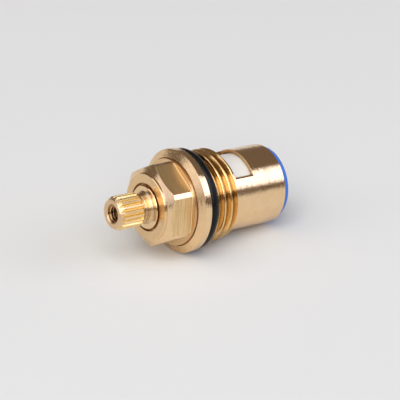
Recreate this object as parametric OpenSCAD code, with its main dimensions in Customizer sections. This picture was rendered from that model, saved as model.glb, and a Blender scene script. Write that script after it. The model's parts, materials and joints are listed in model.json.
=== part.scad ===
// Quarter-turn ceramic disc cartridge for a half-inch tap, lying on its side.
// The spindle's axis is X, with its tip towards +X. The origin is on that axis, in the seating face under the
// flange. Two flats of the hexagon face +Y and -Y, and +Z is up. Lengths are in mm and angles in degrees.
// Angles round the axis are counted from +Y towards +Z. Every piece is drawn along its own z axis and laid on X.

/* [Flange and hexagon] */
// Diameter of the flange
flange_d = 23.5; // [22.6:0.1:28]
// Height of the flange's upright rim
flange_rim_h = 1.7; // [1:0.1:4]
// Height of the slope from the rim up to the collar
flange_slope_h = 0.9; // [0.5:0.05:2]
// Height of the round collar that the cutter leaves under the flats
collar_h = 0.65; // [0.4:0.05:2]
// How far the collar stands out past the hexagon's corners
collar_step = 0.3; // [0.1:0.05:0.6]
// Depth of the turned line between the flange and the collar
undercut = 0.25; // [0.1:0.05:0.4]
// Width of the hexagon across its flats
hex_af = 17; // [15:0.5:18]
// How much is turned off the hexagon's width across its corners
hex_corner_trim = 0.63; // [0.2:0.01:1.4]
// Height of the hexagon, with its front chamfer
hex_h = 5.8; // [4:0.1:9]
// Slope of the chamfer on the hexagon's front
hex_chamfer_angle = 27.5; // [15:0.5:40]
// How much narrower the round boss is than the hexagon's width across flats
boss_inset = 1.8; // [1:0.1:3]
// Height of the boss in front of the hexagon
boss_h = 0.6; // [0.3:0.05:2]
// Small chamfer on the turned edges
edge_break = 0.15; // [0.05:0.05:0.25]

/* [Thread and barrel] */
// Outside diameter of the thread, G 1/2
thread_d = 20.955; // [20:0.005:22]
// Length of the threaded stretch
thread_len = 5.5; // [4:0.1:9]
// Chamfer at both ends of the thread
thread_chamfer = 0.3; // [0.1:0.05:0.5]
// Outside diameter of the barrel
barrel_d = 18.25; // [17.4:0.05:19]
// Length of the plain barrel after the thread
barrel_len = 14.4; // [13:0.1:20]
// Wall of the barrel
barrel_wall = 0.76; // [0.6:0.02:1.4]
// Length of each outlet window along the axis
window_len = 5; // [3:0.1:6]
// Stretch of barrel between the thread and the windows
window_land = 1.2; // [0.6:0.1:2]
// Angle of the middle of the first window, the second is opposite
window_turn = 81.5; // [60:0.5:100]
// Diameter of the disc cutter that mills the windows
window_cutter_d = 38; // [26:0.5:50]
// How deep the cutter goes in from the barrel's outside
window_cut = 3.41; // [2.2:0.01:4]

/* [Spindle] */
// Diameter of the stem
stem_d = 9.8; // [9.4:0.1:11]
// How far the stem stands proud of the boss
stem_rise = 0.35; // [0.1:0.05:1]
// Depth of the relief round the stem in the boss's face
mouth_depth = 0.8; // [0.5:0.1:2]
// Width of that relief round the stem
mouth_gap = 0.56; // [0.2:0.02:0.8]
// Diameter of the neck above the stem
neck_d = 6.5; // [6:0.1:7.4]
// Length of the neck with its fillet
neck_len = 1.6; // [1:0.1:3]
// Fillet between the neck and the stem's face
neck_fillet = 0.5; // [0.2:0.05:1]
// Diameter of the groove where the spline runs out
runout_d = 5.8; // [5:0.1:6.2]
// Length of that groove
runout_len = 0.8; // [0.4:0.05:1.5]
// Outside diameter of the handle's spline
spline_d = 7.6; // [7.2:0.1:8.4]
// Number of teeth on the spline
spline_teeth = 20; // [16:1:24]
// Depth of the spline's teeth
spline_depth = 0.5; // [0.3:0.02:0.6]
// Length of the spline
spline_len = 6.05; // [5:0.05:9]
// How far the chamfer round the tip goes in
tip_chamfer = 0.6; // [0.3:0.02:0.8]
// Length of that chamfer along the axis
tip_chamfer_len = 1; // [0.4:0.1:2.5]
// Diameter of the tapped hole for the handle's screw, M4 before tapping
screw_hole_d = 3.3; // [2.5:0.1:4]
// Depth of the tapped hole
screw_hole_depth = 9; // [6:0.5:11]
// Diameter of the countersink at the hole's mouth
countersink_d = 4.55; // [4.3:0.05:5.4]

/* [Rubber rings] */
// Thickness of the two rings on the stem
stem_ring_section = 1.6; // [1.2:0.05:2]
// Depth of the upper stem ring under the mouth relief
stem_ring_depth = 3.05; // [2:0.05:4]
// Distance between the two stem rings
stem_ring_pitch = 4; // [3:0.1:5]
// How far the ring under the flange lies inside the flange's edge
flange_ring_inset = 0.25; // [0.1:0.05:0.6]
// Thickness of the ring under the flange
flange_ring_section = 2.5; // [2:0.05:2.65]
// Extra length of each ring's groove
ring_groove_play = 0.2; // [0.1:0.05:0.6]

/* [Stops and drive] */
// Turn of the spindle from shut to open
travel = 90; // [60:5:100]
// Angle of the middle of the stop lug in the body, which leaves the heavier side below
stop_turn = 149; // [100:1:200]
// Width of the stop lug in the body
stop_lug_arc = 30; // [20:1:40]
// Angle left between the stop lug and the driver's notch at both ends of the travel
stop_gap = 1.5; // [0.5:0.5:3]
// Thickness of the washer above the driver
washer_t = 0.75; // [0.5:0.05:1.2]
// Width of the washer's ring
washer_w = 1.6; // [1.2:0.05:2]
// Thickness of the driver on the spindle
driver_t = 2.75; // [2:0.05:3.4]
// Width of the tongue that turns the moving disc
tongue_w = 3; // [2.4:0.1:3.6]
// Height of the tongue
tongue_h = 1.9; // [1.2:0.1:2.2]
// Distance from each end of the tongue to the moving disc's rim
tongue_inset = 1.75; // [1:0.05:2.5]

/* [Ceramic discs] */
// Thickness of the moving disc
moving_disc_t = 5.7; // [5:0.1:6.4]
// Thickness of the fixed disc
fixed_disc_t = 3.7; // [3:0.1:4.6]
// Distance from the windows' lower edge down to the sealing plane of the discs
sealing_drop = 0.2; // [0.1:0.05:0.8]
// Height of the passages in the moving disc
passage_h = 3.8; // [2.6:0.1:4.2]
// Width of each passage in the moving disc
passage_arc = 84; // [70:1:90]
// Width of each port in the fixed disc
port_arc = 78; // [60:1:84]
// Diameter of the hub between the passages and between the ports
disc_hub_d = 3.8; // [3:0.1:5]
// Width of the rim outside the ports
port_rim = 2.15; // [1.6:0.05:2.8]
// Chamfer on the discs' outer edges
disc_chamfer = 0.25; // [0.1:0.05:0.4]

/* [End seal] */
// How far the seal stands out of the barrel
seal_rise = 1.5; // [1:0.05:2.5]
// Distance from the barrel's outside in to the seal's lip
seal_lip_inset = 0.65; // [0.3:0.05:0.9]
// Rounding of the lip's outer edge
seal_round = 0.5; // [0.2:0.05:0.9]
// Wall of the seal
seal_wall = 1.65; // [1.3:0.05:2.2]
// Wall of the ring that supports the seal from inside
support_wall = 0.7; // [0.5:0.05:1.2]
// How far the support ring lies back inside the seal's face
support_setback = 0.7; // [0.3:0.1:1.5]
// Width of the keyways in the barrel
key_w = 3; // [2:0.1:4]
// Depth of the keyways in the barrel's wall
key_depth = 0.4; // [0.3:0.05:0.6]

/* [Clearances] */
// Radial running gap of the stem in its bore
running_gap = 0.05; // [0.02:0.01:0.1]
// Radial gap between the stem rings and the bore
ring_gap = 0.03; // [0.01:0.01:0.06]
// Radial gap round the driver and the ceramic discs
chamber_gap = 0.2; // [0.1:0.05:0.4]
// Gap between the faces that turn on each other
face_gap = 0.04; // [0.02:0.01:0.1]
// Water film between the two ceramic discs
disc_film = 0.02; // [0.01:0.01:0.04]
// Gap round the stop lug's tip, the tongue and the keys
key_gap = 0.08; // [0.04:0.02:0.16]
// Radial gap of the seal in the barrel and of the ring in the seal
seal_gap = 0.05; // [0.02:0.01:0.1]

/* [Hidden] */
$fn = 96;
// How far a cutter runs past the face that it cuts
past = 1;

// Heights along the axis, from the seating face under the flange
collar_base = flange_rim_h + flange_slope_h;
hex_base = collar_base + collar_h;
boss_base = hex_base + hex_h;
boss_top = boss_base + boss_h;
mouth_floor = boss_top - mouth_depth;
stem_top = boss_top + stem_rise;
neck_top = stem_top + neck_len;
spline_base = neck_top + runout_len;
tip = spline_base + spline_len;
thread_top = -flange_ring_section - ring_groove_play;
thread_end = thread_top - thread_len;
barrel_end = thread_end - barrel_len;
window_top = thread_end - window_land;
window_bottom = window_top - window_len;
sealing_plane = window_bottom - sealing_drop;
moving_disc_top = sealing_plane + moving_disc_t;
driver_base = moving_disc_top + face_gap;
driver_top = driver_base + driver_t;
washer_base = driver_top + face_gap;
shoulder = washer_base + washer_t;
fixed_disc_top = sealing_plane - disc_film;
fixed_disc_base = fixed_disc_top - fixed_disc_t;
seal_face = barrel_end - seal_rise;
upper_ring = mouth_floor - stem_ring_depth;
lower_ring = upper_ring - stem_ring_pitch;

// Radii
flange_r = flange_d / 2;
flange_ring_groove_r = flange_r - flange_ring_inset - flange_ring_section;
hex_corner_r = hex_af / cos(30) / 2 - hex_corner_trim / 2;
collar_r = hex_corner_r + collar_step;
boss_r = (hex_af - boss_inset) / 2;
chamfer_base = boss_base - (hex_corner_r - boss_r) * tan(hex_chamfer_angle);
thread_r = thread_d / 2;
barrel_r = barrel_d / 2;
chamber_r = barrel_r - barrel_wall;
stem_r = stem_d / 2;
gland_r = stem_r + running_gap;
mouth_r = stem_r + mouth_gap;
neck_r = neck_d / 2;
spline_r = spline_d / 2;
spline_root_r = spline_r - spline_depth;
screw_hole_r = screw_hole_d / 2;
stem_ring_outer_r = gland_r - ring_gap;
stem_groove_r = stem_ring_outer_r - stem_ring_section;
washer_inner_r = gland_r + running_gap;
inside_lug_r = washer_inner_r + washer_w;
lug_r = inside_lug_r + key_gap;
driver_r = chamber_r - chamber_gap;
disc_r = chamber_r - chamber_gap;
disc_hub_r = disc_hub_d / 2;
port_r = disc_r - port_rim;
tongue_len = 2 * (disc_r - tongue_inset);
keyway_r = chamber_r + key_depth;
seal_r = chamber_r - seal_gap;
seal_lip_r = barrel_r - seal_lip_inset;
seal_inner_r = seal_r - seal_wall;
support_r = seal_inner_r - seal_gap;
window_cutter_r = window_cutter_d / 2;

// Angles round the axis of what lies across the windows
cross_turn = window_turn + 90;
// Slope of the point that a twist drill leaves, and half the width of its chisel edge
drill_point = 31;
drill_chisel_r = 0.2;

// Lays what is drawn along z on the X axis, with the drawing's x on Y and its y on Z
module along_axis() {
    rotate([90, 0, 90]) children();
}

// Solid of revolution between two heights and two radii
module band(r_in, r_out, z_low, z_high) {
    rotate_extrude() translate([r_in, z_low]) square([r_out - r_in, z_high - z_low]);
}

// Part of such a solid, of the given width round the axis and centred on the given angle
module sector(r_in, r_out, z_low, z_high, middle, arc) {
    rotate([0, 0, middle - arc / 2])
        rotate_extrude(angle = arc) translate([r_in, z_low]) square([r_out - r_in, z_high - z_low]);
}

// Round rubber ring whose section touches its groove's floor
module o_ring(floor_r, section, z_middle) {
    rotate_extrude() translate([floor_r + section / 2, z_middle]) circle(d = section);
}

// Two ears that stop a piece from turning, on opposite sides of it
module ears(r_in, z_low, z_high) {
    ear_w = key_w - 2 * key_gap;
    for (side = [0, 180]) rotate([0, 0, cross_turn + side])
        translate([r_in, -ear_w / 2, z_low]) cube([keyway_r - key_gap - r_in, ear_w, z_high - z_low]);
}

// Bar through the axis
module cross_bar(length, width, z_low, z_high, turn) {
    rotate([0, 0, turn]) translate([-length / 2, -width / 2, z_low]) cube([length, width, z_high - z_low]);
}

// The same outline of revolution that a lathe leaves on the body, below the flats
module body_turned() {
    rotate_extrude() polygon([
        [0, barrel_end],
        [barrel_r - edge_break, barrel_end],
        [barrel_r, barrel_end + edge_break],
        [barrel_r, thread_end],
        [thread_r - thread_chamfer, thread_end],
        [thread_r, thread_end + thread_chamfer],
        [thread_r, thread_top - thread_chamfer],
        [thread_r - thread_chamfer, thread_top],
        [flange_ring_groove_r, thread_top],
        [flange_ring_groove_r, 0],
        [flange_r - edge_break, 0],
        [flange_r, edge_break],
        [flange_r, flange_rim_h],
        [collar_r + undercut, collar_base],
        [collar_r, collar_base - undercut],
        [collar_r, hex_base],
        [0, hex_base]
    ]);
}

// Hexagon with turned corners and a chamfered front, and the round boss before it
module hexagon() {
    intersection() {
        translate([0, 0, collar_base])
            rotate([0, 0, 30]) cylinder(d = hex_af / cos(30), h = boss_base - collar_base, $fn = 6);
        rotate_extrude() polygon([
            [0, collar_base],
            [hex_corner_r, collar_base],
            [hex_corner_r, chamfer_base],
            [boss_r, boss_base],
            [0, boss_base]
        ]);
    }
    rotate_extrude() polygon([
        [0, hex_base],
        [boss_r, hex_base],
        [boss_r, boss_top - edge_break],
        [boss_r - edge_break, boss_top],
        [0, boss_top]
    ]);
}

// Disc cutter at one of the windows
module window_cutter(turn) {
    rotate([0, 0, turn]) translate([barrel_r - window_cut + window_cutter_r, 0, window_bottom])
        cylinder(r = window_cutter_r, h = window_len);
}

module body() {
    color("#d2b06c") along_axis() {
        difference() {
            union() {
                body_turned();
                hexagon();
            }
            band(0, chamber_r, barrel_end - past, shoulder);
            band(0, gland_r, barrel_end, boss_top + past);
            band(0, mouth_r, mouth_floor, boss_top + past);
            for (side = [0, 180]) window_cutter(window_turn + side);
            cross_bar(2 * keyway_r, key_w, barrel_end - past, fixed_disc_top + face_gap, cross_turn);
        }
        sector(lug_r, chamber_r + barrel_wall / 2, driver_base + face_gap, shoulder + edge_break, stop_turn,
               stop_lug_arc);
    }
}

module flange_o_ring() {
    color("#232327") along_axis()
        o_ring(flange_ring_groove_r, flange_ring_section, -flange_ring_section / 2);
}

// Straight-sided tooth form of the handle's spline, drawn a little too tall so that its crests are turned round
module spline_outline() {
    pitch = 360 / spline_teeth;
    crest_r = spline_r + edge_break;
    polygon([
        for (tooth = [0 : spline_teeth - 1], corner = [[-0.46, spline_root_r], [-0.12, crest_r],
                                                       [0.12, crest_r], [0.46, spline_root_r]])
            let (angle = (tooth + corner[0]) * pitch) [corner[1] * cos(angle), corner[1] * sin(angle)]
    ]);
}

// Splined end, with its crests turned to size and both of its ends chamfered
module spline() {
    intersection() {
        translate([0, 0, spline_base]) linear_extrude(spline_len) spline_outline();
        rotate_extrude() polygon([
            [0, spline_base],
            [spline_r - edge_break, spline_base],
            [spline_r, spline_base + edge_break],
            [spline_r, tip - tip_chamfer_len],
            [spline_r - tip_chamfer, tip],
            [0, tip]
        ]);
    }
}

// Stem with the grooves for its two rubber rings, and the neck that carries the spline
module stem() {
    half_groove = (stem_ring_section + ring_groove_play) / 2;
    difference() {
        rotate_extrude() polygon([
            [0, driver_base],
            [stem_r, driver_base],
            [stem_r, stem_top - edge_break],
            [stem_r - edge_break, stem_top],
            [neck_r + neck_fillet, stem_top],
            [neck_r, stem_top + neck_fillet],
            [neck_r, neck_top - edge_break],
            [neck_r - edge_break, neck_top],
            [runout_d / 2, neck_top],
            [runout_d / 2, spline_base + edge_break],
            [0, spline_base + edge_break]
        ]);
        for (z = [upper_ring, lower_ring]) band(stem_groove_r, stem_r + past, z - half_groove, z + half_groove);
    }
}

// Tapped hole for the handle's screw, from the tip down to the drill's point
module screw_hole() {
    floor_z = tip - screw_hole_depth;
    point_z = floor_z - (screw_hole_r - drill_chisel_r) * tan(drill_point);
    countersink_r = countersink_d / 2;
    rotate_extrude() polygon([
        [0, point_z],
        [drill_chisel_r, point_z],
        [screw_hole_r, floor_z],
        [screw_hole_r, tip - countersink_r + screw_hole_r],
        [countersink_r, tip],
        [countersink_r, tip + past],
        [0, tip + past]
    ]);
}

module spindle() {
    color("#d8b874") along_axis() difference() {
        union() {
            stem();
            spline();
            band(0, driver_r, driver_base, driver_top);
            intersection() {
                cross_bar(tongue_len, tongue_w, driver_base - tongue_h, driver_top, window_turn);
                band(0, driver_r, driver_base - tongue_h, driver_top);
            }
        }
        sector(inside_lug_r, driver_r + past, driver_base - past, driver_top + past, stop_turn - travel / 2,
               travel + stop_lug_arc + 2 * stop_gap);
        screw_hole();
    }
}

module stem_o_ring_upper() {
    color("#232327") along_axis() o_ring(stem_groove_r, stem_ring_section, upper_ring);
}

module stem_o_ring_lower() {
    color("#232327") along_axis() o_ring(stem_groove_r, stem_ring_section, lower_ring);
}

module thrust_washer() {
    color("#f0efe8") along_axis() band(washer_inner_r, inside_lug_r, washer_base, shoulder);
}

// Ceramic disc with chamfered outer edges
module ceramic_disc(z_low, z_high) {
    rotate_extrude() polygon([
        [0, z_low],
        [disc_r - disc_chamfer, z_low],
        [disc_r, z_low + disc_chamfer],
        [disc_r, z_high - disc_chamfer],
        [disc_r - disc_chamfer, z_high],
        [0, z_high]
    ]);
}

module moving_disc() {
    color("#efedea") along_axis() difference() {
        ceramic_disc(sealing_plane, moving_disc_top);
        cross_bar(tongue_len + 2 * key_gap, tongue_w + 2 * key_gap, driver_base - tongue_h - key_gap,
                  moving_disc_top + past, window_turn);
        for (side = [0, 180])
            sector(disc_hub_r, disc_r + past, sealing_plane - past, sealing_plane + passage_h, cross_turn + side,
                   passage_arc);
    }
}

module fixed_disc() {
    color("#efedea") along_axis() difference() {
        union() {
            rotate([0, 0, window_turn]) ceramic_disc(fixed_disc_base, fixed_disc_top);
            ears(port_r, fixed_disc_base, fixed_disc_top);
        }
        for (side = [0, 180])
            sector(disc_hub_r, port_r, fixed_disc_base - past, fixed_disc_top + past, window_turn + side, port_arc);
    }
}

// Lip outside the barrel, with its outer edge rounded by the arc of the given steps
module seal_lip() {
    rotate_extrude() polygon(concat(
        [[0, barrel_end], [0, seal_face]],
        [for (a = [0 : 15 : 90]) [seal_lip_r - seal_round * (1 - sin(a)), seal_face + seal_round * (1 - cos(a))]],
        [[seal_lip_r, barrel_end]]
    ));
}

module end_seal() {
    color("#3f74d2") along_axis() difference() {
        union() {
            rotate([0, 0, window_turn]) band(0, seal_r, seal_face + seal_round, fixed_disc_base);
            ears(seal_r - seal_wall / 2, barrel_end + edge_break, fixed_disc_base);
            seal_lip();
        }
        band(0, seal_inner_r, seal_face - past, fixed_disc_base + past);
    }
}

module seal_support_ring() {
    color("#e6e3d8") along_axis()
        band(support_r - support_wall, support_r, seal_face + support_setback, fixed_disc_base);
}

body();
flange_o_ring();
spindle();
stem_o_ring_upper();
stem_o_ring_lower();
thrust_washer();
moving_disc();
fixed_disc();
end_seal();
seal_support_ring();
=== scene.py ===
"""Dresses the ceramic disc tap cartridge: cuts its two threads, finishes every piece, and lights it."""
import json
import math

import bmesh
import bpy
from mathutils import Matrix, Vector

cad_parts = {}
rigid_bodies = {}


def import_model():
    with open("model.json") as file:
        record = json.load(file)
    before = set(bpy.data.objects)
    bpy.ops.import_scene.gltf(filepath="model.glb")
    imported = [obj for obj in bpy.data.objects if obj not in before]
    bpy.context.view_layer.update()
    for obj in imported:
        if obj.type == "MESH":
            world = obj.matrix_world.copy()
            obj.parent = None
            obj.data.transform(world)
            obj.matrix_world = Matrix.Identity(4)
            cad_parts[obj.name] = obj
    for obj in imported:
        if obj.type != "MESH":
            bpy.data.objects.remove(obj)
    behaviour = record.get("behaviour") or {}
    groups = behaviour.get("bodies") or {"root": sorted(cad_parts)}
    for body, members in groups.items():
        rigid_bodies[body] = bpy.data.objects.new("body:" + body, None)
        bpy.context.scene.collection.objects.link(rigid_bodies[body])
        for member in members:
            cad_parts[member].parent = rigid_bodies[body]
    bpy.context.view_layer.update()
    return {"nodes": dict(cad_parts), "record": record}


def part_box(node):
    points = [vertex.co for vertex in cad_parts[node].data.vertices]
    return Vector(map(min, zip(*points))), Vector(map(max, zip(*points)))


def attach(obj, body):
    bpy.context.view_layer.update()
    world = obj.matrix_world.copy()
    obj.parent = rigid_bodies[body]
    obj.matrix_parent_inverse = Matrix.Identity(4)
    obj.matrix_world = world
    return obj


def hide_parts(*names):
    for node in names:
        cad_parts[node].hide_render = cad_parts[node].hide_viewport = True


for leftover in list(bpy.data.objects):
    bpy.data.objects.remove(leftover)
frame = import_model()
nodes = frame["nodes"]
mount_dims = {mount["name"]: mount["dims"] for mount in frame["record"]["mounts"]}
body_low, body_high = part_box("body")
spindle_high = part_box("spindle")[1]

# Sizes are in mm and angles in degrees, where no comment says otherwise.
MM = 0.001

# The pieces are worked on along z, as on a lathe, and laid on the part's X axis with this turn.
LAY = Matrix(((0, 0, 1, 0), (1, 0, 0, 0), (0, 1, 0, 0), (0, 0, 0, 1)))

# Body, with heights above the seating face under its flange
THREAD_R = mount_dims["body_thread"]["r_mm"]
THREAD_TOP = -2.7
THREAD_END = -8.2
BARREL_R = 9.125
BARREL_END = body_low.x / MM
BARREL_WALL = 0.76
FLANGE_R = body_high.y / MM
FLANGE_RIM = 1.7
COLLAR_R = 9.8
COLLAR_BASE = 2.6
HEX_HALF = 8.5
HEX_CORNER_R = 9.5
HEX_BASE = 3.25
BOSS_BASE = 9.05
BOSS_TOP = body_high.x / MM

# Gap round the stem: the body's faces within this radius and above this height get dark brass, partly grease
# and partly painted shade of the deep gap
GAP_R = 5.5
GAP_BOTTOM = 8.05

# Fillets at the feet of the hexagon's flats, and how far their solids reach into the body
FOOT_FILLET = 0.2
FOOT_SUNK = 0.1

# Outlet windows: their heights, their turn from +Y towards +Z, and their disc cutter's radius and depth
WINDOW_TOP = -9.4
WINDOW_BOTTOM = -14.4
WINDOW_TURN = 81.5
WINDOW_CUTTER_R = 19
WINDOW_CUT = 3.41

# File that eases the edges at the windows' ends: how deep, its side, and its play between the windows' walls
WINDOW_EASE = 0.10
FILE_SIDE = 1.2
FILE_PLAY = 0.01

# G 1/2 thread: 14 turns to the inch, 55 degrees between flanks, round crests and roots. The last two values
# are the height of one crest in the photograph and its turn from +Y towards +Z.
BODY_PITCH = 1.814
BODY_THREAD_DEPTH = 1.162
FLANK = 27.5
ROUND = 0.1373 * BODY_PITCH
CREST_HALF = 0.05
CREST_AT = -4.47
CREST_AT_TURN = 25.3

# Its cutter: how far it stands clear of the thread, how far it runs past both ends, and its rings to a turn
BODY_CUTTER_CLEAR = 0.6
BODY_CUTTER_PAST = 1.1
BODY_CUTTER_RINGS = 128

# M4 thread of the screw's hole
SCREW_PITCH = 0.7
SCREW_HOLE_R = mount_dims["handle_screw"]["r_mm"]
SCREW_HOLE_DEPTH = 9
SCREW_ROOT_R = 2.0
SCREW_ROOT_HALF = 0.05
SCREW_THREAD_LEN = 7.6

# Its tap: how far inside the hole's wall its core and its flanks begin, how far it runs past the tip,
# and its rings to a turn
SCREW_TAP_CORE = 0.25
SCREW_TAP_FLANK = 0.001
SCREW_TAP_PAST = 0.45
SCREW_TAP_RINGS = 60

# Spindle, with heights above the body's seating face. Inside the tapped radius its faces are the hole's.
TIP = spindle_high.x / MM
TAPPED_R = 2.05
SPLINE_R = 3.8
SPLINE_BASE = 12.4
STEM_TOP = 10

# Steps in each small arc, and how close corners are joined before the cutting and after it
ARC_STEPS = 5
DOUBLED = 0.0005
CUT_NOISE = 0.001

# Edges sharper than these angles stay crisp. The weight lets large faces rule the shading of small ones.
SHARP_METAL = 22
SHARP_RUBBER = 40
LARGE_FACE_WEIGHT = 80

# How faces are told apart: how near to a surface they count as on it, how much of the normal along the axis
# makes them square to the axis or leaning, and how much of it towards the axis makes them a bore's wall
NEAR = 0.02
SQUARE = 0.95
LEANING = 0.25
INWARD = 0.5

# Radius of worn edges, and of the spline's edges
WORN_EDGE = 0.08
SPLINE_EDGE = 0.16

# How fast the turning tool's path grows along the axis and away from it, and a radius that is added so that
# nothing is divided by 0 on the axis
FEED_ALONG = 0.9
FEED_OUT = 1.1
AXIS_R = 0.001

# Depths of broad and fine marks and of the grain, as shares of a finish's own depth
BROAD_SHARE = 3.0
FINE_SHARE = 1.7
GRAIN_SHARE = 0.8

# What a pit in turned brass does to the colour, the roughness and the height,
# and what a speck in milled brass does to the colour and the height
PIT_SHADE = 0.5
PIT_ROUGHNESS = 0.2
PIT_DEPTH = 0.35
SPECK_SHADE = 0.5
SPECK_DEPTH = 2.5

# Marks of the milling cutter: how many to the mm, and how fast they change along themselves
MILLED_PER_MM = 2.4
MILLED_DRIFT = 0.10

# Painted shade, a darker colour in the hollows and corners: its colour, how much there is at most, and how
# far in or how far away it begins and is at its most
PAINTED_SHADE = (0.16, 0.075, 0.028)
THREAD_ROOT_SHADE = 0.6
THREAD_SHADE_FROM = 0.5
SCREW_ROOT_SHADE = 0.85
SCREW_DEEP_SHADE = 0.6
SCREW_SHADE_FROM = 0.6
SCREW_DARK = 2.4
WINDOW_WALL_SHADE = 0.6
WINDOW_SHADE_FROM = 0.25
COLLAR_CORNER_SHADE = 0.7
COLLAR_SHADE_FROM = 0.24
COLLAR_DARK = 0.06

# Where the photograph was taken from, measured with the part rolled so that it lies as it does on the floor
ROLL = 2.69
CAMERA_AT = Vector((210.2, 274.07, 149.73)) * MM
CAMERA_BACK = Vector((0.5673, 0.7215, 0.3970))
CAMERA_RIGHT = Vector((-0.80579, 0.58578, 0.08701))
CAMERA_LENS = 152
CAMERA_SENSOR = 36
CAMERA_CLIP = 10 * MM

# Floor and the raised paper behind the part, in metres. The paper's ends are turns from the spindle's side.
FLOOR_REACH = 3.0
BACK_DISTANCE = 0.9
BACK_HEIGHT = 0.16
BACK_FROM = 195
BACK_TO = 322
BACK_ROWS = 8
BACK_COLUMNS = 24

# How much of the paper's deeper tone its grain and its clouds bring in
PAPER_GRAIN = 0.3
PAPER_CLOUDS = 0.5

# Light of the room
ROOM = (0.172, 0.139, 0.117)


class Value:
    """A socket of a material's node. Sums written with it add Math nodes."""

    def __init__(self, finish, socket):
        self.finish = finish
        self.socket = socket

    def beside(self, output):
        """Another output of the same node."""
        return Value(self.finish, self.socket.node.outputs[output])

    def clamped(self, low, high, most=1.0):
        """0 at the low value, the most at the high one, and straight between them."""
        settings = {"clamp": True}
        inputs = {"Value": self, "From Min": low, "From Max": high, "To Max": most}
        return self.finish.node("ShaderNodeMapRange", settings, inputs)

    def swing(self, amount):
        """A noise from 0 to 1 as a swing about 0, by the given amount in all."""
        return (self - 0.5) * amount

    def slant(self, other):
        """Length of the slant between two steps at right angles, this one and another."""
        return (self * self + other * other) ** 0.5

    def __add__(self, other):
        return self.finish.math("ADD", self, other)

    def __radd__(self, other):
        return self.finish.math("ADD", other, self)

    def __sub__(self, other):
        return self.finish.math("SUBTRACT", self, other)

    def __rsub__(self, other):
        return self.finish.math("SUBTRACT", other, self)

    def __mul__(self, other):
        return self.finish.math("MULTIPLY", self, other)

    def __rmul__(self, other):
        return self.finish.math("MULTIPLY", other, self)

    def __truediv__(self, other):
        return self.finish.math("DIVIDE", self, other)

    def __rtruediv__(self, other):
        return self.finish.math("DIVIDE", other, self)

    def __pow__(self, other):
        return self.finish.math("POWER", self, other)

    def __rpow__(self, other):
        return self.finish.math("POWER", other, self)


class Finish:
    """A material made of nodes."""

    def __init__(self, name):
        self.material = bpy.data.materials.new(name)
        self.material.use_nodes = True
        self.tree = self.material.node_tree
        self.tree.nodes.clear()

    def node(self, kind, settings=None, inputs=None, output=0):
        """Adds a node: its settings first, then what goes into its sockets. Returns its output, if any."""
        made = self.tree.nodes.new(kind)
        for name, setting in (settings or {}).items():
            setattr(made, name, setting)
        for name, given in (inputs or {}).items():
            if isinstance(given, Value):
                self.tree.links.new(given.socket, made.inputs[name])
            else:
                made.inputs[name].default_value = given
        return Value(self, made.outputs[output]) if made.outputs else None

    def math(self, operation, first, second):
        return self.node("ShaderNodeMath", {"operation": operation}, {0: first, 1: second})

    def blend(self, factor, first, second):
        """Two colours mixed by a factor. The Mix node's inputs 6 and 7 and its output 2 are for colours."""
        first, second = (c if isinstance(c, Value) else (*c, 1) for c in (first, second))
        return self.node("ShaderNodeMix", {"data_type": "RGBA"}, {0: factor, 6: first, 7: second}, 2)

    def vector(self, x, y, z):
        return self.node("ShaderNodeCombineXYZ", None, {"X": x, "Y": y, "Z": z})

    def noise(self, place, scale=1.0, detail=2.0, roughness=0.5):
        inputs = {"Vector": place, "Scale": scale, "Detail": detail, "Roughness": roughness}
        return self.node("ShaderNodeTexNoise", {"noise_dimensions": "3D"}, inputs)

    def bump(self, height, depth, below=None):
        """Bump of the given depth in mm for a height from 0 to 1, over another normal if there is one."""
        inputs = {"Height": height, "Strength": 1.0, "Distance": depth * MM}
        if below is not None:
            inputs["Normal"] = below
        return self.node("ShaderNodeBump", None, inputs)

    def worn_edges(self, radius):
        """Normal of a surface whose edges are rounded by the given radius in mm."""
        return self.node("ShaderNodeBevel", {"samples": 6}, {"Radius": radius * MM})

    def place(self):
        """Where a point is on the piece, in mm along its own axes."""
        point = self.node("ShaderNodeTexCoord", None, None, "Object")
        settings = {"operation": "SCALE"}
        return self.node("ShaderNodeVectorMath", settings, {0: point, "Scale": 1 / MM})

    def surface(self, **sockets):
        """Ends the material with the given sockets of the shader."""
        inputs = {}
        for name, given in sockets.items():
            inputs[name.replace("_", " ").title().replace("Ior", "IOR")] = given
        shader = self.node("ShaderNodeBsdfPrincipled", None, inputs)
        self.node("ShaderNodeOutputMaterial", None, {"Surface": shader})
        return self.material


class Turned(Finish):
    """A finish for a piece that was turned about one of its own axes, z or x, which it then calls z."""

    def __init__(self, name, axis="Z"):
        super().__init__(name)
        self.point = self.place()
        parts = self.node("ShaderNodeSeparateXYZ", None, {"Vector": self.point})
        letters = "XYZ" if axis == "Z" else "YZX"
        self.x, self.y, self.z = (parts.beside(letter) for letter in letters)
        self.radius = self.x.slant(self.y)
        safe = self.radius + AXIS_R
        self.round_x = self.x / safe
        self.round_y = self.y / safe
        # Grows along the tool's path on a cylinder, on a face and on a cone
        self.feed = self.z * FEED_ALONG + self.radius * FEED_OUT

    def marks(self, per_mm, sweep, detail=2.0):
        """Marks that run round the axis, so many to the mm, and change along them by the sweep."""
        place = self.vector(self.feed * per_mm, self.round_x * sweep, self.round_y * sweep)
        return self.noise(place, detail=detail)


def darker(colour, share):
    """A colour with only a share of its light."""
    return tuple(c * share for c in colour)


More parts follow.
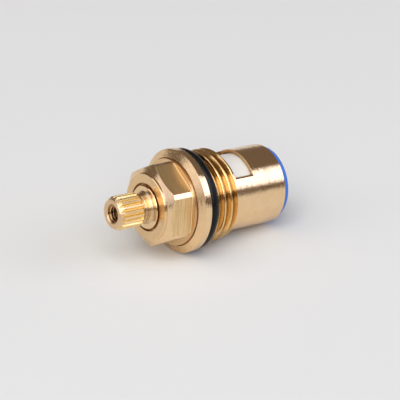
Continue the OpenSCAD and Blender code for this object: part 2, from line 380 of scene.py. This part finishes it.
def brass(name, colour, deep, roughness, mark_depth, anisotropy, painted_shade=None, edge=WORN_EDGE):
    """Turned brass: feed marks round the axis, faint stains, small pits, edges rounded by the given radius,
    and painted shade, a darker colour in hollows and corners, as much as the given function says."""
    finish = Turned(name)
    fine = finish.marks(per_mm=3.6, sweep=6.0, detail=3.0)
    broad = finish.marks(per_mm=2.2, sweep=4.4)
    grain = finish.noise(finish.point, scale=4.2, roughness=0.6)
    stains = finish.noise(finish.point, scale=0.35, detail=4.0, roughness=0.6)
    pits = finish.noise(finish.point, scale=2.6, detail=1.0).clamped(low=0.70, high=0.79)
    tone = finish.blend(stains.clamped(low=0.35, high=0.75, most=0.5), colour, deep)
    tone = finish.blend(fine.clamped(low=0.30, high=0.75, most=0.35), tone, deep)
    tone = finish.blend(pits * PIT_SHADE, tone, darker(deep, share=0.45))
    # Painted shade: the colour darkens in the hollows and corners that the given function picks
    if painted_shade is not None:
        tone = finish.blend(painted_shade(finish), tone, PAINTED_SHADE)
    worn = roughness + fine.swing(0.14) + stains.swing(0.14) + grain.swing(0.10) + pits * PIT_ROUGHNESS
    normal = finish.bump(broad, mark_depth * BROAD_SHARE, below=finish.worn_edges(edge))
    normal = finish.bump(grain, mark_depth * GRAIN_SHARE, below=normal)
    normal = finish.bump(fine - pits * PIT_DEPTH, mark_depth * FINE_SHARE, below=normal)
    return finish.surface(base_color=tone, metallic=1.0, roughness=worn, normal=normal,
                          anisotropic=anisotropy, anisotropic_rotation=0.25)


def milled_brass(name, colour, deep, roughness, mark_depth, anisotropy):
    """Brass flats with straight marks across the axis, stains and small specks."""
    finish = Turned(name)
    across = finish.vector(finish.z * MILLED_PER_MM, finish.x * MILLED_DRIFT, finish.y * MILLED_DRIFT)
    fine = finish.noise(across)
    grain = finish.noise(finish.point, scale=3.0, roughness=0.6)
    stains = finish.noise(finish.point, scale=0.45, detail=4.0, roughness=0.6)
    specks = finish.noise(finish.point, scale=3.1, detail=1.0).clamped(low=0.70, high=0.80)
    tone = finish.blend(stains.clamped(low=0.35, high=0.75, most=0.6), colour, deep)
    tone = finish.blend(fine.clamped(low=0.42, high=0.62, most=0.6), tone, darker(deep, share=0.86))
    tone = finish.blend(specks * SPECK_SHADE, tone, darker(deep, share=0.5))
    worn = roughness + fine.swing(0.20) + stains.swing(0.12) + grain.swing(0.10)
    normal = finish.bump(grain, mark_depth * GRAIN_SHARE, below=finish.worn_edges(WORN_EDGE))
    normal = finish.bump(fine - specks * SPECK_DEPTH, mark_depth, below=normal)
    return finish.surface(base_color=tone, metallic=1.0, roughness=worn, normal=normal,
                          anisotropic=anisotropy, anisotropic_rotation=0.25)


def rubber(name, colour, dusty, roughness, grain, shine):
    """Moulded rubber: fine grain, a faint bloom and a little dust."""
    finish = Finish(name)
    point = finish.place()
    fine = finish.noise(point, scale=9.0, detail=3.0, roughness=0.6)
    bloom = finish.noise(point, scale=0.5, detail=3.0, roughness=0.55)
    tone = finish.blend(bloom.clamped(low=0.4, high=0.8, most=0.5), colour, dusty)
    tone = finish.blend(fine.clamped(low=0.62, high=0.8, most=0.35), tone, dusty)
    worn = roughness + bloom.swing(0.2) + fine.swing(0.1)
    return finish.surface(base_color=tone, roughness=worn, specular_ior_level=shine,
                          normal=finish.bump(fine, depth=grain))


def ceramic(name, colour, deep):
    """Ground and lapped alumina: faint grinding lines and grey traces."""
    finish = Turned(name, axis="X")
    lines = finish.marks(per_mm=2.2, sweep=1.0, detail=3.0)
    clouds = finish.noise(finish.point, scale=0.6, detail=4.0, roughness=0.6)
    specks = finish.noise(finish.point, scale=5.0, detail=1.0).clamped(low=0.72, high=0.80, most=0.35)
    tone = finish.blend(clouds.clamped(low=0.35, high=0.8, most=0.6), colour, deep)
    tone = finish.blend(specks, tone, darker(deep, share=0.6))
    return finish.surface(base_color=tone, roughness=0.36 + lines.swing(0.2), specular_ior_level=0.5,
                          normal=finish.bump(lines, depth=0.002))


def moulded_plastic(name, colour, deep):
    """Off-white engineering plastic with a matte skin."""
    finish = Finish(name)
    point = finish.place()
    grain = finish.noise(point, scale=7.0, detail=3.0, roughness=0.6)
    flow = finish.noise(point, scale=0.4, detail=3.0)
    tone = finish.blend(flow.clamped(low=0.35, high=0.8, most=0.6), colour, deep)
    return finish.surface(base_color=tone, roughness=0.45 + grain.swing(0.2),
                          normal=finish.bump(grain, depth=0.006))


def paper(name, colour, deep):
    """Pale matte paper under the part: grain, and clouds that are wider than the part."""
    finish = Finish(name)
    point = finish.place()
    grain = finish.noise(point, scale=1.2, detail=3.0, roughness=0.6)
    clouds = finish.noise(point, scale=0.006)
    tone = finish.blend(grain * PAPER_GRAIN + clouds * PAPER_CLOUDS, colour, deep)
    return finish.surface(base_color=tone, roughness=0.85, specular_ior_level=0.2,
                          normal=finish.bump(grain, depth=0.004))


def thread_root_shading(finish):
    """Painted shade: a darker colour in the roots of the body's thread."""
    root = THREAD_R - BODY_THREAD_DEPTH
    return finish.radius.clamped(low=THREAD_R - THREAD_SHADE_FROM, high=root, most=THREAD_ROOT_SHADE)


def screw_hole_shading(finish):
    """Painted shade: a darker colour in the roots of the screw's thread and deeper in its hole."""
    roots = finish.radius.clamped(low=SCREW_HOLE_R, high=SCREW_ROOT_R, most=SCREW_ROOT_SHADE)
    depth = finish.z.clamped(low=TIP - SCREW_SHADE_FROM, high=TIP - SCREW_DARK, most=SCREW_DEEP_SHADE)
    return 1 - (1 - roots) * (1 - depth)


def window_wall_shading(finish):
    """Painted shade: a darker colour towards the inner side of the windows' walls."""
    inside = BARREL_R - BARREL_WALL
    return finish.radius.clamped(low=BARREL_R - WINDOW_SHADE_FROM, high=inside, most=WINDOW_WALL_SHADE)


def collar_corner_shading(finish):
    """Painted shade: a darker colour in the corner at the collar's foot."""
    away = (finish.radius - COLLAR_R).slant(finish.z - COLLAR_BASE)
    return away.clamped(low=COLLAR_SHADE_FROM, high=COLLAR_DARK, most=COLLAR_CORNER_SHADE)


body_brass = brass(
    "turned_body_brass", colour=(0.91, 0.66, 0.39), deep=(0.79, 0.53, 0.28),
    roughness=0.16, mark_depth=0.015, anisotropy=0.6)
thread_brass = brass(
    "threaded_body_brass", colour=(0.90, 0.605, 0.28), deep=(0.76, 0.46, 0.165),
    roughness=0.14, mark_depth=0.006, anisotropy=0.5, painted_shade=thread_root_shading)
flat_brass = milled_brass(
    "milled_hexagon_brass", colour=(0.91, 0.66, 0.355), deep=(0.80, 0.54, 0.25),
    roughness=0.34, mark_depth=0.020, anisotropy=0.85)
faced_brass = brass(
    "faced_body_brass", colour=(0.84, 0.595, 0.335), deep=(0.72, 0.47, 0.235),
    roughness=0.30, mark_depth=0.018, anisotropy=0.5, painted_shade=collar_corner_shading)
slope_brass = brass(
    "turned_slope_brass", colour=(0.88, 0.625, 0.355), deep=(0.76, 0.50, 0.25),
    roughness=0.25, mark_depth=0.017, anisotropy=0.55, painted_shade=collar_corner_shading)
# The windows' walls: darker brass as painted shade inside the windows, and more painted shade towards the
# walls' inner side
window_brass = brass(
    "cut_window_brass", colour=(0.76, 0.50, 0.25), deep=(0.56, 0.33, 0.14),
    roughness=0.30, mark_depth=0.012, anisotropy=0.3, painted_shade=window_wall_shading)
# Dark brass of the gap round the stem, partly grease and partly painted shade of the deep gap, and painted
# shade at the windows' ends
gap_grease_and_shade_brass = brass(
    "greasy_gap_brass", colour=(0.56, 0.32, 0.14), deep=(0.36, 0.20, 0.08),
    roughness=0.34, mark_depth=0.008, anisotropy=0.3)
spindle_brass = brass(
    "turned_spindle_brass", colour=(0.92, 0.675, 0.40), deep=(0.80, 0.54, 0.28),
    roughness=0.18, mark_depth=0.008, anisotropy=0.5)
# The spline's grooves: brighter, deeper gold than the spindle's brass, a painted reflection of light
# bouncing between the teeth
spline_brass = brass(
    "cut_spline_brass", colour=(0.99, 0.745, 0.33), deep=(0.93, 0.635, 0.22),
    roughness=0.27, mark_depth=0.004, anisotropy=0.3, edge=SPLINE_EDGE)
# The spline's crests: paler, brighter brass, a painted highlight along each crest
crest_brass = brass(
    "turned_crest_brass", colour=(0.98, 0.75, 0.45), deep=(0.92, 0.67, 0.36),
    roughness=0.48, mark_depth=0.006, anisotropy=0.3, edge=SPLINE_EDGE)
tip_brass = brass(
    "faced_tip_brass", colour=(0.81, 0.58, 0.35), deep=(0.69, 0.46, 0.25),
    roughness=0.42, mark_depth=0.012, anisotropy=0.5)
# Darker brass on the neck between the spline and the stem: painted shade that dims the highlight it catches
neck_brass = brass(
    "turned_neck_brass", colour=(0.72, 0.54, 0.34), deep=(0.60, 0.41, 0.23),
    roughness=0.28, mark_depth=0.008, anisotropy=0.5)
tapped_brass = brass(
    "tapped_hole_brass", colour=(0.88, 0.57, 0.27), deep=(0.68, 0.38, 0.14),
    roughness=0.14, mark_depth=0.004, anisotropy=0.4, painted_shade=screw_hole_shading)
black_rubber = rubber(
    "black_ring_rubber", colour=(0.004, 0.004, 0.005), dusty=(0.012, 0.012, 0.014),
    roughness=0.30, grain=0.004, shine=0.22)
blue_rubber = rubber(
    "blue_seal_rubber", colour=(0.045, 0.16, 0.60), dusty=(0.08, 0.22, 0.64),
    roughness=0.46, grain=0.005, shine=0.4)
white_ceramic = ceramic("white_disc_ceramic", colour=(0.77, 0.74, 0.695), deep=(0.71, 0.675, 0.62))
white_plastic = moulded_plastic("white_inner_plastic", colour=(0.84, 0.83, 0.79), deep=(0.76, 0.74, 0.69))
pale_paper = paper("pale_paper", colour=(0.77, 0.77, 0.765), deep=(0.73, 0.73, 0.725))


def link(name, data):
    """Puts an object with the given data into the scene."""
    made = bpy.data.objects.new(name, data)
    bpy.context.scene.collection.objects.link(made)
    return made


def object_of(name, mesh):
    """Object of the scene made from a bmesh, which is used up."""
    data = bpy.data.meshes.new(name)
    mesh.to_mesh(data)
    mesh.free()
    return link(name, data)


def copy_of(node, name):
    """Copy of a node's mesh along z, with its doubled corners joined."""
    mesh = bmesh.new()
    mesh.from_mesh(nodes[node].data)
    bmesh.ops.transform(mesh, matrix=LAY.inverted(), verts=mesh.verts)
    bmesh.ops.remove_doubles(mesh, verts=mesh.verts, dist=DOUBLED * MM)
    return object_of(name, mesh)


def worm(name, profile, pitch, lift, first_turn, turns, rings_to_turn):
    """Closed solid that follows a helix about z. Its profile is pairs of a height and a radius."""
    mesh = bmesh.new()
    count = round(turns * rings_to_turn)
    rings = []
    for i in range(count + 1):
        turn = first_turn + turns * i / count
        cos = math.cos(2 * math.pi * turn)
        sin = math.sin(2 * math.pi * turn)
        rise = lift + pitch * turn
        rings.append([mesh.verts.new((r * cos * MM, r * sin * MM, (rise + h) * MM)) for h, r in profile])
    for one, other in zip(rings, rings[1:]):
        for i in range(len(profile)):
            j = (i + 1) % len(profile)
            mesh.faces.new((one[i], one[j], other[j], other[i]))
    mesh.faces.new(rings[0])
    mesh.faces.new(reversed(rings[-1]))
    bmesh.ops.recalc_face_normals(mesh, faces=mesh.faces)
    return object_of(name, mesh)


def body_cutter():
    """Helix of the groove between two crests of the body's thread, closed outside the thread."""
    first = math.asin(CREST_HALF / ROUND)
    last = math.radians(90 - FLANK)
    root = THREAD_R - BODY_THREAD_DEPTH
    side = [(BODY_PITCH / 2 - CREST_HALF, THREAD_R + BODY_CUTTER_CLEAR)]
    for i in range(ARC_STEPS + 1):
        lean = first + (last - first) * i / ARC_STEPS
        side.append((BODY_PITCH / 2 - ROUND * math.sin(lean), THREAD_R - ROUND * (1 - math.cos(lean))))
    for i in range(ARC_STEPS, 0, -1):
        lean = last * i / ARC_STEPS
        side.append((ROUND * math.sin(lean), root + ROUND * (1 - math.cos(lean))))
    profile = [(-h, r) for h, r in side] + [(0.0, root)] + list(reversed(side))
    groove_at = CREST_AT + BODY_PITCH / 2 - BODY_PITCH * CREST_AT_TURN / 360
    start = (THREAD_END - BODY_CUTTER_PAST - groove_at) / BODY_PITCH
    end = (THREAD_TOP + BODY_CUTTER_PAST - groove_at) / BODY_PITCH
    return worm("body_cutter", profile, BODY_PITCH, groove_at, start, end - start, BODY_CUTTER_RINGS)


def screw_tap():
    """Helix of the groove that the tap cuts in the screw's hole, closed inside the hole."""
    # A metric thread leaves a quarter of the pitch between two grooves.
    half = SCREW_PITCH * 3 / 8
    side = [
        (half, SCREW_HOLE_R - SCREW_TAP_CORE),
        (half, SCREW_HOLE_R - SCREW_TAP_FLANK),
        (SCREW_ROOT_HALF, SCREW_ROOT_R),
    ]
    profile = [(-h, r) for h, r in side] + list(reversed(side))
    lift = TIP - SCREW_THREAD_LEN + SCREW_TAP_PAST
    turns = SCREW_THREAD_LEN / SCREW_PITCH
    return worm("screw_tap", profile, SCREW_PITCH, lift, 0.0, turns, SCREW_TAP_RINGS)


def window_file():
    """Blocks that ease the windows' outer edges at both ends, where their disc cutter ran out."""
    # The disc's circle and the barrel's cross at this place, and the file leans half way between them.
    centre = BARREL_R - WINDOW_CUT + WINDOW_CUTTER_R
    across = (centre ** 2 + BARREL_R ** 2 - WINDOW_CUTTER_R ** 2) / (2 * centre)
    along = math.sqrt(BARREL_R ** 2 - across ** 2)
    lean = (math.atan2(along, across) - math.asin(along / WINDOW_CUTTER_R)) / 2
    middle = (WINDOW_TOP + WINDOW_BOTTOM) / 2
    size = Matrix.Diagonal((FILE_SIDE, FILE_SIDE, WINDOW_TOP - WINDOW_BOTTOM - FILE_PLAY, 1))
    out = Matrix.Translation((FILE_SIDE / 2 - WINDOW_EASE, 0, 0))
    mesh = bmesh.new()
    for window in (0, 180):
        turn = Matrix.Scale(MM, 4) @ Matrix.Rotation(math.radians(WINDOW_TURN + window), 4, "Z")
        for end in (-1, 1):
            place = Matrix.Translation((across, end * along, middle)) @ Matrix.Rotation(end * lean, 4, "Z")
            bmesh.ops.create_cube(mesh, size=1, matrix=turn @ place @ out @ size)
    return object_of("window_file", mesh)


def foot_fillets():
    """Fillets that the cutter leaves at the feet of the hexagon's flats, as solids sunk into the body."""
    section = [(-FOOT_SUNK, FOOT_FILLET), (-FOOT_SUNK, -FOOT_SUNK), (FOOT_FILLET, -FOOT_SUNK)]
    for i in range(ARC_STEPS + 1):
        lean = math.radians(90 * i / ARC_STEPS)
        section.append((FOOT_FILLET * (1 - math.sin(lean)), FOOT_FILLET * (1 - math.cos(lean))))
    mesh = bmesh.new()
    for flat in range(6):
        turn = Matrix.Rotation(math.radians(60 * flat), 3, "Z")
        ends = ([], [])
        for out, rise in section:
            corner_r = HEX_CORNER_R - FOOT_SUNK if out < 0 else HEX_CORNER_R
            half = math.sqrt(corner_r ** 2 - (HEX_HALF + out) ** 2)
            for end, y in zip(ends, (-half, half)):
                end.append(mesh.verts.new(turn @ Vector((HEX_HALF + out, y, HEX_BASE + rise)) * MM))
        for i in range(len(section)):
            mesh.faces.new((ends[0][i - 1], ends[0][i], ends[1][i], ends[1][i - 1]))
        for end in ends:
            mesh.faces.new(end)
    bmesh.ops.recalc_face_normals(mesh, faces=mesh.faces)
    return object_of("foot_fillets", mesh)


def combine(piece, tool, operation):
    """Cuts the tool's solid out of the piece, or joins it to the piece, and drops the tool."""
    modifier = piece.modifiers.new("combine", "BOOLEAN")
    modifier.operation = operation
    modifier.solver = "EXACT"
    modifier.object = tool
    graph = bpy.context.evaluated_depsgraph_get()
    combined = bpy.data.meshes.new_from_object(piece.evaluated_get(graph))
    piece.modifiers.clear()
    piece.data = combined
    bpy.data.objects.remove(tool)


def clean(piece):
    """Drops the faces and edges of no size that the cutting left."""
    mesh = bmesh.new()
    mesh.from_mesh(piece.data)
    bmesh.ops.remove_doubles(mesh, verts=mesh.verts, dist=CUT_NOISE * MM)
    bmesh.ops.triangulate(mesh, faces=[face for face in mesh.faces if len(face.verts) > 4])
    bmesh.ops.dissolve_degenerate(mesh, dist=CUT_NOISE * MM, edges=mesh.edges)
    mesh.to_mesh(piece.data)
    mesh.free()


def finish_faces(piece, finishes, finish_of):
    """Gives every face the finish that finish_of picks for its middle, in mm, and its normal."""
    piece.data.materials.clear()
    for finish in finishes:
        piece.data.materials.append(finish)
    for face in piece.data.polygons:
        face.material_index = finishes.index(finish_of(face.center / MM, face.normal))


def shade(piece, angle):
    """Smooth faces, with the edges sharper than the angle kept crisp."""
    mesh = bmesh.new()
    mesh.from_mesh(piece.data)
    for face in mesh.faces:
        face.smooth = True
    for edge in mesh.edges:
        edge.smooth = edge.calc_face_angle(0.0) < math.radians(angle)
    mesh.to_mesh(piece.data)
    mesh.free()
    weighted = piece.modifiers.new("normals", "WEIGHTED_NORMAL")
    weighted.keep_sharp = True
    weighted.weight = LARGE_FACE_WEIGHT


def stand_for(piece, node, body):
    """Lays a finished piece on the part's axis in the place of a node."""
    piece.matrix_world = LAY
    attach(piece, body)
    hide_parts(node)


def body_finish(middle, normal):
    """Finish of a face of the body. The windows' ends get the same painted shade as the gap round the stem.
    """
    radius = math.hypot(middle.x, middle.y)
    reach = middle.x * normal.x + middle.y * normal.y
    leans = abs(normal.z) > LEANING
    on_thread = THREAD_END <= middle.z <= THREAD_TOP and BARREL_R < radius < THREAD_R + NEAR
    if on_thread and abs(normal.z) < SQUARE:
        return thread_brass
    if HEX_BASE < middle.z < BOSS_BASE and abs(reach - HEX_HALF) < NEAR and not leans:
        return flat_brass
    if radius < GAP_R and GAP_BOTTOM < middle.z < BOSS_TOP - NEAR:
        return gap_grease_and_shade_brass
    if FLANGE_RIM < middle.z < COLLAR_BASE and normal.z > LEANING:
        return slope_brass
    on_collar = COLLAR_BASE < middle.z < HEX_BASE and radius < COLLAR_R + NEAR
    if on_collar or middle.z > 0 and normal.z > SQUARE:
        return faced_brass
    in_wall = BARREL_R - BARREL_WALL < radius < BARREL_R - NEAR and reach > -INWARD * radius
    if in_wall and WINDOW_BOTTOM - NEAR < middle.z < WINDOW_TOP + NEAR:
        return window_brass if leans else gap_grease_and_shade_brass
    return body_brass


def spindle_finish(middle, normal):
    """Finish of a face of the spindle."""
    radius = math.hypot(middle.x, middle.y)
    if radius < TAPPED_R and middle.z > TIP - SCREW_HOLE_DEPTH:
        return tapped_brass
    if SPLINE_BASE < middle.z < TIP and abs(normal.z) < LEANING:
        return spline_brass if radius < SPLINE_R - NEAR else crest_brass
    if STEM_TOP + NEAR < middle.z < SPLINE_BASE:
        return neck_brass
    if middle.z > SPLINE_BASE and normal.z > LEANING:
        return tip_brass
    return spindle_brass


body = copy_of("body", "cartridge_body")
combine(body, body_cutter(), "DIFFERENCE")
combine(body, window_file(), "DIFFERENCE")
combine(body, foot_fillets(), "UNION")
clean(body)
body_finishes = (body_brass, thread_brass, flat_brass, faced_brass, window_brass, gap_grease_and_shade_brass, slope_brass)
finish_faces(body, body_finishes, body_finish)
shade(body, SHARP_METAL)
stand_for(body, "body", "housing")

spindle = copy_of("spindle", "splined_spindle")
combine(spindle, screw_tap(), "DIFFERENCE")
clean(spindle)
spindle_finishes = (spindle_brass, spline_brass, tapped_brass, neck_brass, tip_brass, crest_brass)
finish_faces(spindle, spindle_finishes, spindle_finish)
shade(spindle, SHARP_METAL)
stand_for(spindle, "spindle", "turning_spindle")

seal = copy_of("end_seal", "blue_end_seal")
finish_faces(seal, (blue_rubber,), lambda middle, normal: blue_rubber)
shade(seal, SHARP_RUBBER)
stand_for(seal, "end_seal", "housing")

plain_nodes = {
    "flange_o_ring": black_rubber,
    "stem_o_ring_upper": black_rubber,
    "stem_o_ring_lower": black_rubber,
    "thrust_washer": white_plastic,
    "moving_disc": white_ceramic,
    "fixed_disc": white_ceramic,
    "seal_support_ring": white_plastic,
}
for name, material in plain_nodes.items():
    nodes[name].data.materials.clear()
    nodes[name].data.materials.append(material)

# The part lies on its flange and on its barrel's end, so the floor is not level with the part's axis.
tilt = math.atan2(FLANGE_R - BARREL_R, -BARREL_END)
roll = math.radians(ROLL)
floor_up = Vector((math.sin(tilt), math.cos(tilt) * math.sin(roll), math.cos(tilt) * math.cos(roll)))
floor_out = (Vector((1, 0, 0)) - floor_up * floor_up.x).normalized()
floor_side = floor_up.cross(floor_out)
floor_depth = min(floor_up.dot(v.co) for n in nodes.values() for v in n.data.vertices)
level = Matrix((floor_out, floor_side, floor_up)).transposed()


def toward(turn, height):
    """Direction from the part, by its turn round the floor's normal and its height above the floor."""
    turn = math.radians(turn)
    height = math.radians(height)
    flat = Vector((math.cos(turn) * math.cos(height), math.sin(turn) * math.cos(height), math.sin(height)))
    return level @ flat


def looking(back):
    """Turn of a lamp that looks along minus back, with its top away from the floor."""
    right = floor_up.cross(back).normalized()
    return Matrix((right, back.cross(right), back)).transposed().to_4x4()


def panel(name, turn, height, distance, width, tall, brightness, colour):
    """Soft light panel that faces the part, in metres. A brightness of 1 looks white."""
    lamp = bpy.data.lights.new(name, "AREA")
    lamp.shape = "RECTANGLE"
    lamp.size = width
    lamp.size_y = tall
    lamp.energy = brightness * math.pi * width * tall
    lamp.color = colour
    back = toward(turn, height)
    link(name, lamp).matrix_world = Matrix.Translation(back * distance) @ looking(back)


def laid_paper(name, rows):
    """Sheet of pale paper on the floor, through rows of points in metres along the floor and up."""
    mesh = bmesh.new()
    corners = [[mesh.verts.new(point) for point in row] for row in rows]
    for low, high in zip(corners, corners[1:]):
        for i in range(len(low) - 1):
            mesh.faces.new((low[i], low[i + 1], high[i + 1], high[i]))
    sheet = object_of(name, mesh)
    sheet.data.materials.append(pale_paper)
    sheet.matrix_world = Matrix.Translation(floor_up * floor_depth) @ level.to_4x4()
    return sheet


floor_rows = [[(x, y, 0) for x in (-FLOOR_REACH, FLOOR_REACH)] for y in (-FLOOR_REACH, FLOOR_REACH)]
floor = laid_paper("floor", floor_rows)

# Behind the part the paper curves up.
back_step = (BACK_TO - BACK_FROM) / BACK_COLUMNS
back_turns = [math.radians(BACK_FROM + back_step * i) for i in range(BACK_COLUMNS + 1)]
back_rows = []
for row in range(BACK_ROWS + 1):
    lean = math.radians(90 * row / BACK_ROWS)
    out = BACK_DISTANCE + BACK_HEIGHT * math.sin(lean)
    up = BACK_HEIGHT * (1 - math.cos(lean))
    back_rows.append([(out * math.cos(turn), out * math.sin(turn), up) for turn in back_turns])
backdrop = laid_paper("raised_paper", back_rows)

panel("front_panel", turn=52, height=45, distance=2.6, width=2.3, tall=2.6,
      brightness=3.5, colour=(0.975, 1.0, 0.985))
panel("top_panel", turn=350, height=58, distance=2.4, width=2.4, tall=2.4,
      brightness=1.08, colour=(0.99, 1.0, 1.0))
panel("right_panel", turn=138, height=31, distance=1.6, width=0.92, tall=0.88,
      brightness=2.1, colour=(0.92, 0.98, 1.3))
panel("left_panel", turn=344, height=20, distance=1.6, width=1.1, tall=1.0,
      brightness=0.8, colour=(0.94, 0.98, 1.2))

world = bpy.data.worlds.new("studio")
world.use_nodes = True
world.node_tree.nodes["Background"].inputs["Color"].default_value = (*ROOM, 1)
bpy.context.scene.world = world

camera_data = bpy.data.cameras.new("camera")
camera_data.lens = CAMERA_LENS
camera_data.sensor_width = CAMERA_SENSOR
camera_data.clip_start = CAMERA_CLIP
camera = link("camera", camera_data)
unroll = Matrix.Rotation(-roll, 3, "X")
camera_axes = (CAMERA_RIGHT, CAMERA_BACK.cross(CAMERA_RIGHT), CAMERA_BACK)
camera_turn = unroll @ Matrix(camera_axes).transposed()
camera.matrix_world = Matrix.Translation(unroll @ CAMERA_AT) @ camera_turn.to_4x4()
bpy.context.scene.camera = camera
bpy.context.scene.view_settings.view_transform = "Standard"
